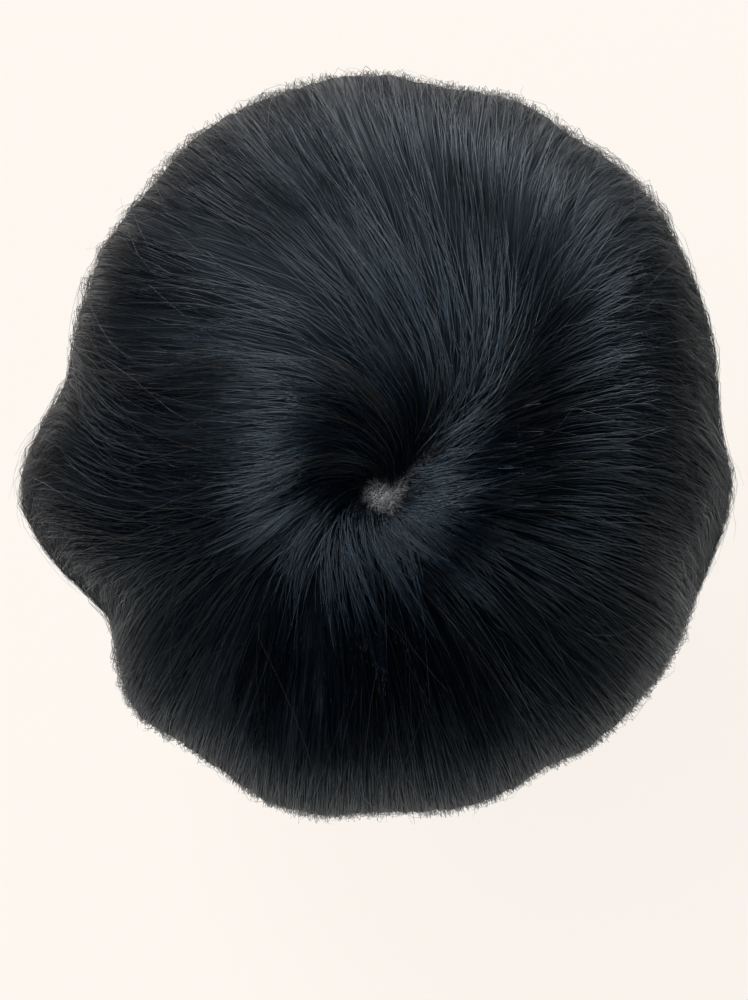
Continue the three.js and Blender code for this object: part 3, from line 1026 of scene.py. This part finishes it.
    def course(self, locks: Locks, sizes: LieSizes) -> Course:
        """Reads each strand's places along its lock; its ends are near the lock's, and its root off the part.

        Args:
            locks: The locks.
            sizes: The lie's sizes.

        Returns:
            Where the strands run.
        """
        last_step = sum(self.steps)
        least, slack = sizes.least * MM / self.step, sizes.least / LOCK.full_least
        rows, start = np.arange(len(locks.root)), locks.root.astype(int)
        which = np.repeat(rows, sizes.in_lock)
        root, tip = locks.root[which], locks.tip[which]
        arc = locks.arcs[rows, start]
        beside = locks.bearings[rows, np.minimum(start + LOCK.settled, last_step)]
        ragged = np.where(arc < LOCK.whorl_arc, SEAT.patch(beside), 1.0)
        later = self.rng.uniform(*LOCK.later, len(which)) * ragged[which]
        off = (np.mod(beside, 360.0) - SEAT.part_bearing) / LOCK.part_width
        parted = np.exp(-off * off) * smoothstep(*LOCK.part_arcs, arc) * LOCK.part_length / self.step
        later = later + parted[which] * self.rng.uniform(*LOCK.part_late, len(which))
        first = np.minimum(root + slack * later, tip - least)
        last = tip - slack * np.abs(self.rng.normal(0, LOCK.sooner, len(which)))
        last = np.maximum(last, first + least)
        along = 0.5 - 0.5 * np.cos(math.pi * np.linspace(0.0, 1.0, self.rings))[None, :]
        at = np.clip(first[:, None] + (last - first)[:, None] * along, 0, last_step)
        low = np.clip(at.astype(int), 0, last_step - 1)
        mix, lock = at - low, which[:, None]
        arc = locks.arcs[lock, low] * (1 - mix) + locks.arcs[lock, low + 1] * mix
        bearing = locks.bearings[lock, low] * (1 - mix) + locks.bearings[lock, low + 1] * mix
        return Course(which, along, arc, bearing, (at - root[:, None]) * self.step, SEAT.rim(arc, bearing))

    def lift(self, locks: Locks, course: Course, sizes: LieSizes) -> Array:
        """Lifts the strands to their depth in the hair, or up a slope from their roots.

        Args:
            locks: The locks.
            course: Where the strands run.
            sizes: The lie's sizes.

        Returns:
            Heights over the form at each ring, in metres.
        """
        which, run, each = course.which, course.run, (len(course.which), 1)
        share = course.arc / SEAT.reach(course.bearing)
        depth = self.rng.uniform(*sizes.depth, len(locks.root))[which][:, None]
        rise = LOCK.root_rise + (1 - LOCK.root_rise) * smoothstep(0.0, LOCK.rise_length, run)
        swell = self.rng.normal(0, LOCK.swell, len(locks.root))[which][:, None]
        swell = swell * smoothstep(*LOCK.swell_shares, share)
        flick = self.rng.normal(0.0, sizes.flick, each) * smoothstep(*LOCK.flick_along, course.along)
        loose = np.minimum(self.rng.exponential(LOCK.loose, each), LOCK.loosest)
        loose = loose * smoothstep(*LOCK.loose_rim, course.rim)
        own = self.rng.uniform(-LOCK.own_lift, LOCK.own_lift, each) + loose
        lift = SEAT.thickness(course.arc, course.bearing) * depth * rise
        if sizes.stand > 0:
            whole = ((locks.tip - locks.root) * self.step)[which][:, None]
            slope = sizes.stand * self.rng.uniform(*LOCK.slopes, len(locks.root))[which][:, None]
            lift = SEAT.whorl_lift + slope * run * (1 - LOCK.levelling * run / whole)
        return lift + MM * (swell + flick + own) + SEAT.lobes(course.arc, course.bearing)

    def spread(self, lines: Array, course: Course, sizes: LieSizes) -> Array:
        """Sets the strands of a lock beside each other.

        Args:
            lines: The lock's middle line for each strand.
            course: Where the strands run.
            sizes: The lie's sizes.

        Returns:
            What to add to the lines.
        """
        along, each = course.along, (len(lines), 1)
        across = unit(np.cross(np.gradient(lines, axis=1), lines - SEAT.centre()))
        aside = np.clip(self.rng.normal(0, LOCK.aside, each), -LOCK.most_aside, LOCK.most_aside)
        half = sizes.lock_width + (sizes.tip_width - sizes.lock_width) * smoothstep(*LOCK.gather_along, along)
        turns = self.rng.uniform(*LOCK.wave_counts, each) * along + self.rng.random(each)
        wave = LOCK.wave * np.sin(2 * math.pi * turns)
        wander = self.rng.normal(0, LOCK.wander, each) * (2 * along - 1)
        return across * (MM * (aside * half + wave + wander))[..., None]

    def shades(self, locks: Locks, course: Course, sizes: LieSizes) -> Array:
        """Shades the strands: in streaks round the whorl, with painted rim light towards the rim and painted
        glints on some lies.

        Args:
            locks: The locks.
            course: Where the strands run.
            sizes: The lie's sizes.

        Returns:
            Shades at each ring, 0 to 1.
        """
        which, count = course.which, len(course.which)
        rows = np.arange(len(locks.root))
        bearing = locks.bearings[rows, locks.root.astype(int)]
        streak = LOCK.streak * np.sin(np.radians(LOCK.streaks * bearing))[which]
        # Painted sheen and shade: the zone's tone is raised where the hair is lit and lowered where it lies in
        # shade; the catch-light share adds painted glints.
        pale = self.shade + sizes.painted_catchlight + streak
        shade = self.rng.normal(pale, LOCK.shade_spread, count)
        shade = shade + self.rng.normal(0, LOCK.lock_shade_spread, len(rows))[which]
        # Painted rim light: strands are made lighter towards the hair's edge and widest line, standing in for
        # backlight through them.
        painted_rim_light = self.fade * self.rng.uniform(*LOCK.rim_light_spread, (count, 1)) * smoothstep(*LOCK.rim_light_band, course.rim)
        # Painted glint on the knots at the whorl, for light caught by the cut root ends.
        bright = LOCK.knot_painted_glint if sizes.in_opening else 0.0
        return np.clip(LOCK.shade_share * np.clip(shade, 0.0, 1.0)[:, None] + painted_rim_light + bright, 0.0, 1.0)


@dataclass
class UnderLayer:
    """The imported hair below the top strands: one closed ring of hair, open at the whorl and below.

    The hem has shares of the reach and of the thickness, the ridges have counts and heights in millimetres.
    """

    name: str = "hair_under_layer"
    columns: int = 1200
    outer_rows: int = 26
    inner_rows: int = 8
    end: float = 0.92
    hem: tuple[Span, ...] = ((0.96, 0.8), (0.97, 0.5), (0.96, 0.25))
    depth: float = 0.87
    whorl_depth: float = 0.4
    edge_depth: float = 0.95
    whorl_shares: Span = (0.1, 0.4)
    edge_shares: Span = (0.4, 0.62)
    least_lift: float = 2.6 * MM
    ridges: tuple[tuple[int, float], ...] = ((110, 0.30), (300, 0.25), (600, 0.22))
    ridge_shares: Span = (0.25, 0.6)
    seed: int = 21
    seam: float = -90.0
    comb_arc: float = 55.0
    comb_steps: int = 45
    comb_move: float = 0.05
    comb_slant: float = 0.3
    comb_least_arc: float = 4.0

    def rising(self, share: Array) -> Array:
        """How deep the layer lies, as a share of the hair's thickness: deeper round the whorl."""
        climb = (self.depth - self.whorl_depth) * smoothstep(*self.whorl_shares, share) + self.whorl_depth
        return climb + (self.edge_depth - self.depth) * smoothstep(*self.edge_shares, share)

    def combed(self, arc: Array, bearing: Array) -> Array:
        """Follows the streaks to one arc, where they are set out evenly.

        Args:
            arc: Arcs to start from.
            bearing: Bearings to start from.

        Returns:
            Where each streak crosses that arc, as a share of a turn.
        """
        for _ in range(self.comb_steps):
            way = np.radians(SEAT.turn(arc, bearing))
            whole = np.radians(self.comb_arc - arc) / np.maximum(np.cos(way), self.comb_slant)
            move = np.clip(whole, -self.comb_move, self.comb_move)
            radius = np.sin(np.radians(np.maximum(arc, self.comb_least_arc)))
            bearing = bearing + np.degrees(move * np.sin(way) / radius)
            arc = arc + np.degrees(move * np.cos(way))
        return (bearing - self.seam) / 360.0

    def relief(self, combed: Array, share: Array, turn: Array) -> Array:
        """Raises low ridges along the streaks.

        Args:
            combed: The streaks, as shares of a turn.
            share: Shares of the way out.
            turn: How far the hair turns there, in degrees.

        Returns:
            Heights in metres.
        """
        rng = np.random.default_rng(self.seed)
        total = np.zeros_like(combed)
        for count, height in self.ridges:
            values = rng.uniform(-1.0, 1.0, count)
            at = np.mod(combed, 1.0) * count
            low = at.astype(int) % count
            mix = smoothstep(0.0, 1.0, at - np.floor(at))
            total += height * (values[low] * (1 - mix) + values[(low + 1) % count] * mix)
        return MM * total * smoothstep(*self.ridge_shares, share) * np.cos(np.radians(turn)) ** 2

    def build(self, material: bpy.types.Material) -> bpy.types.Object:
        """Makes the ring of hair and dresses it.

        Args:
            material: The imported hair's finish.

        Returns:
            The piece.
        """
        column = self.seam + 360.0 * np.arange(self.columns + 1)[:, None] / self.columns
        start = SEAT.opening(column) / SEAT.reach(column)
        outer = start + (self.end - start) * np.linspace(0.0, 1.0, self.outer_rows)
        inner = start + (self.end - start) * np.linspace(1.0, 0.0, self.inner_rows)
        hem, thin = (np.tile(values, (self.columns + 1, 1)) for values in zip(*self.hem))
        share = np.concatenate([outer, hem, inner, start], axis=1)
        depth = np.concatenate([self.rising(outer), thin, np.zeros_like(inner), self.rising(start)], axis=1)
        bearing = column + np.zeros_like(share)
        arc = share * SEAT.reach(bearing)
        combed = self.combed(arc, bearing)
        rim = SEAT.rim(arc, bearing)
        ridges = self.relief(combed, share, SEAT.turn(arc, bearing))
        over = (SEAT.thickness(arc, bearing) + SEAT.lobes(arc, bearing) + ridges) * depth
        points = SEAT.points(arc, bearing, np.maximum(over, self.least_lift))
        rows, half = share.shape[1] - 1, 0.5
        bm = bmesh.new()
        bmesh.ops.create_grid(bm, x_segments=self.columns, y_segments=rows, size=half)
        flow = bm.loops.layers.uv.new("flow")
        place = {v: (round((v.co.x + half) * self.columns), round((v.co.y + half) * rows)) for v in bm.verts}
        for face in bm.faces:
            for loop in face.loops:
                spot = place[loop.vert]
                loop[flow].uv = (combed[spot], rim[spot])
        for vert, spot in place.items():
            vert.co = points[spot]
        bmesh.ops.remove_doubles(bm, verts=bm.verts[:], dist=CLOSE)
        bmesh.ops.recalc_face_normals(bm, faces=bm.faces[:])
        piece = piece_from(bm, self.name)
        piece.data.materials.append(material)
        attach(piece, "root")
        return piece


def piece_from(bm: bmesh.types.BMesh, name: str) -> bpy.types.Object:
    """Turns a finished bmesh into a smooth piece.

    Args:
        bm: The shape, which is freed.
        name: The piece's name.

    Returns:
        The piece, at the origin.
    """
    for face in bm.faces:
        face.smooth = True
    mesh = bpy.data.meshes.new(name)
    bm.to_mesh(mesh)
    bm.free()
    piece = bpy.data.objects.new(name, mesh)
    bpy.context.collection.objects.link(piece)
    return piece


@dataclass
class BaseCap:
    """The domed base: rings drawn out from the whorl, then given the wall's thickness.

    Its edge is given by bearings and arcs. The last two rings stand a little higher, as a hem.
    """

    name: str = "base_cap"
    spokes: int = 96
    rings: int = 30
    wall: float = 1.2 * MM
    edge: tuple[Span, ...] = ((0, 68), (90, 97), (180, 68), (270, 37))
    hem: float = 0.35 * MM
    digits: int = 9

    def place(self, vert: bmesh.types.BMVert) -> tuple[float, ...]:
        """A corner's place, rounded, by which the corner drawn out of it is found."""
        return tuple(round(c, self.digits) for c in vert.co)

    def build(self, material: bpy.types.Material) -> bpy.types.Object:
        """Makes the base and dresses it.

        Args:
            material: The net.

        Returns:
            The piece, which stands for the base's solid.
        """
        table = np.array(self.edge, dtype=float)
        bm = bmesh.new()
        made = bmesh.ops.create_circle(bm, cap_ends=True, cap_tris=True, segments=self.spokes, radius=1.0)
        middle = min(made["verts"], key=lambda v: v.co.length)
        loop = [v for v in made["verts"] if v is not middle]
        bearings = np.array([math.degrees(math.atan2(v.co.y, v.co.x)) for v in loop])
        reach = around(table[:, 0], table[:, 1], bearings)
        middle.co = Vector(SEAT.points(np.array(0.0), np.array(0.0), np.array(self.wall)))
        for k in range(1, self.rings + 1):
            if k > 1:
                near = {e for v in loop for e in v.link_edges}
                edges = [e for e in near if all(v in loop for v in e.verts)]
                drawn = bmesh.ops.extrude_edge_only(bm, edges=edges)
                fresh = {self.place(g): g for g in drawn["geom"] if isinstance(g, bmesh.types.BMVert)}
                loop = [fresh[self.place(v)] for v in loop]
            raised = self.wall + (self.hem if k >= self.rings - 1 else 0.0)
            points = SEAT.points(reach * k / self.rings, bearings, np.full_like(bearings, raised))
            for vert, point in zip(loop, points):
                vert.co = point
        bmesh.ops.recalc_face_normals(bm, faces=bm.faces[:])
        bmesh.ops.solidify(bm, geom=bm.faces[:], thickness=self.wall)
        piece = piece_from(bm, self.name)
        piece.data.materials.append(material)
        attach(piece, "root")
        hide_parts("base_cap")
        return piece


@dataclass
class CombClips:
    """The comb clips under the base's edge, which keep their solids."""

    nodes: tuple[str, ...] = ("clip_right", "clip_front", "clip_left", "clip_back")

    def dress(self, material: bpy.types.Material) -> None:
        """Gives each clip its enamel.

        Args:
            material: The enamel.
        """
        for node in self.nodes:
            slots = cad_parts[node].data.materials
            slots.clear()
            slots.append(material)


class Softbox(NamedTuple):
    """One square light: its azimuth from +X and its height in degrees, its power in watts and its colour."""

    name: str
    azimuth: float
    height: float
    power: float
    colour: tuple[float, float, float]


LIGHTS: tuple[Softbox, ...] = (
    Softbox("left", 180, 65, 20.0, (1.0, 0.97, 0.94)),
    Softbox("back_left", 225, 45, 9.5, (0.94, 0.96, 1.0)),
    Softbox("high_back", 240, 65, 6.0, (0.86, 0.93, 1.0)),
    Softbox("front_left", 110, 20, 6.5, (0.98, 0.98, 1.0)),
    Softbox("front", 90, 20, 3.5, (0.98, 0.98, 1.0)),
    Softbox("front_right", 60, 20, 9.0, (0.97, 0.98, 1.0)),
    Softbox("right", 20, 20, 4.3, (0.78, 0.91, 1.0)),
)


@dataclass
class Studio:
    """Pale floor, soft lights and the camera, behind and above."""

    floor_level: float = -0.27
    floor_size: float = 0.62
    floor_ahead: float = 0.16
    light_middle: tuple[float, float, float] = (0.0, 0.0, -0.1)
    light_aim: tuple[float, float, float] = (0.0, 0.0, -0.08)
    light_distance: float = 1.7
    light_size: float = 0.9
    room_colour: Colour = (1.0, 0.975, 0.945, 1)
    room_strength: float = 0.01
    elevation: float = 50.0
    distance: float = 0.65
    nearest: float = 0.01
    focal_px: float = 2145.0
    image: tuple[int, int] = (748, 1000)
    centre_px: Span = (380.0, 482.0)
    sensor: float = 36.0

    def build(self) -> None:
        """Sets up the whole studio."""
        self.floor()
        self.lights()
        self.camera()

    def floor(self) -> None:
        """Lays the floor."""
        bm = bmesh.new()
        bmesh.ops.create_grid(bm, x_segments=2, y_segments=2, size=self.floor_size)
        bmesh.ops.translate(bm, verts=bm.verts[:], vec=(0, self.floor_ahead, self.floor_level))
        piece = piece_from(bm, "floor")
        piece.data.materials.append(FloorFinish().material())

    def lights(self) -> None:
        """Hangs the soft lights and lights the room."""
        for light in LIGHTS:
            self.softbox(light)
        world = bpy.data.worlds.new("studio")
        world.use_nodes = True
        background = world.node_tree.nodes["Background"]
        background.inputs["Color"].default_value = self.room_colour
        background.inputs["Strength"].default_value = self.room_strength
        bpy.context.scene.world = world
        bpy.context.scene.view_settings.view_transform = "Standard"

    def softbox(self, box: Softbox) -> None:
        """Hangs one square light that faces the topper.

        Args:
            box: The light.
        """
        light = bpy.data.lights.new(box.name, "AREA")
        light.size = self.light_size
        light.energy = box.power
        light.color = box.colour
        turn, height = math.radians(box.azimuth), math.radians(box.height)
        out = math.cos(height)
        away = Vector((out * math.cos(turn), out * math.sin(turn), math.sin(height)))
        place = Vector(self.light_middle) + away * self.light_distance
        lamp = bpy.data.objects.new(box.name, light)
        lamp.location = place
        lamp.rotation_euler = (Vector(self.light_aim) - place).to_track_quat("-Z", "Y").to_euler()
        bpy.context.collection.objects.link(lamp)

    def camera(self) -> None:
        """Sets the camera so that the form's centre lands on its pixel."""
        slope = math.radians(self.elevation)
        centre = Vector(SEAT.centre())
        back = Vector((0, -math.cos(slope), math.sin(slope)))
        up = Vector((0, math.sin(slope), math.cos(slope)))
        right = Vector((1, 0, 0))
        scale = self.distance / self.focal_px
        aside = (self.image[0] / 2 - self.centre_px[0]) * scale
        above = (self.centre_px[1] - self.image[1] / 2) * scale
        place = centre + back * self.distance
        aim = centre + right * aside + up * above
        data = bpy.data.cameras.new("camera")
        data.sensor_width = self.sensor
        data.lens = self.focal_px / max(self.image) * self.sensor
        data.clip_start = self.nearest
        camera = bpy.data.objects.new("camera", data)
        camera.location = place
        camera.rotation_euler = (aim - place).to_track_quat("-Z", "Y").to_euler()
        bpy.context.collection.objects.link(camera)
        bpy.context.scene.camera = camera


# The numbers after the drift give each zone's tone and, where given, the strength of its painted rim light; the
# tones are partly painted, higher at the front left for a painted sheen and lower at the back and sides for
# painted shade.
ZONES: tuple[HairZone, ...] = (
    HairZone("hair_front_right", 20, 62, 2400, 10, 11, (-25, 0), 0.48),
    HairZone("hair_front_left", 62, 150, 2950, 10, 12, (0, 12), 0.58),
    HairZone("hair_left_side", 150, 215, 2400, 10, 13, (12, 6), 0.36, 0.85),
    HairZone("hair_back", 215, 325, 2500, 10, 14, (6, -4), 0.26, 0.65),
    HairZone("hair_right_side", 325, 380, 2300, 10, 15, (-4, -25), 0.36, 0.6),
)


def report(piece: bpy.types.Object) -> None:
    """Logs one piece and its triangles."""
    faces = sum(len(p.vertices) - 2 for p in piece.data.polygons)
    log.info("%s: %d triangles", piece.name, faces)


def main() -> None:
    """Builds and dresses the topper, piece by piece."""
    logging.basicConfig(level=logging.INFO, format="%(name)s %(message)s")
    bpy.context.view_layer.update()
    Studio().build()
    report(BaseCap().build(NetFinish().material()))
    CombClips().dress(EnamelFinish().material())
    report(UnderLayer().build(UnderFinish().material()))
    hair = HairFinish().material()
    for zone in ZONES:
        report(zone.build(hair))


if __name__ == "__main__":
    main()
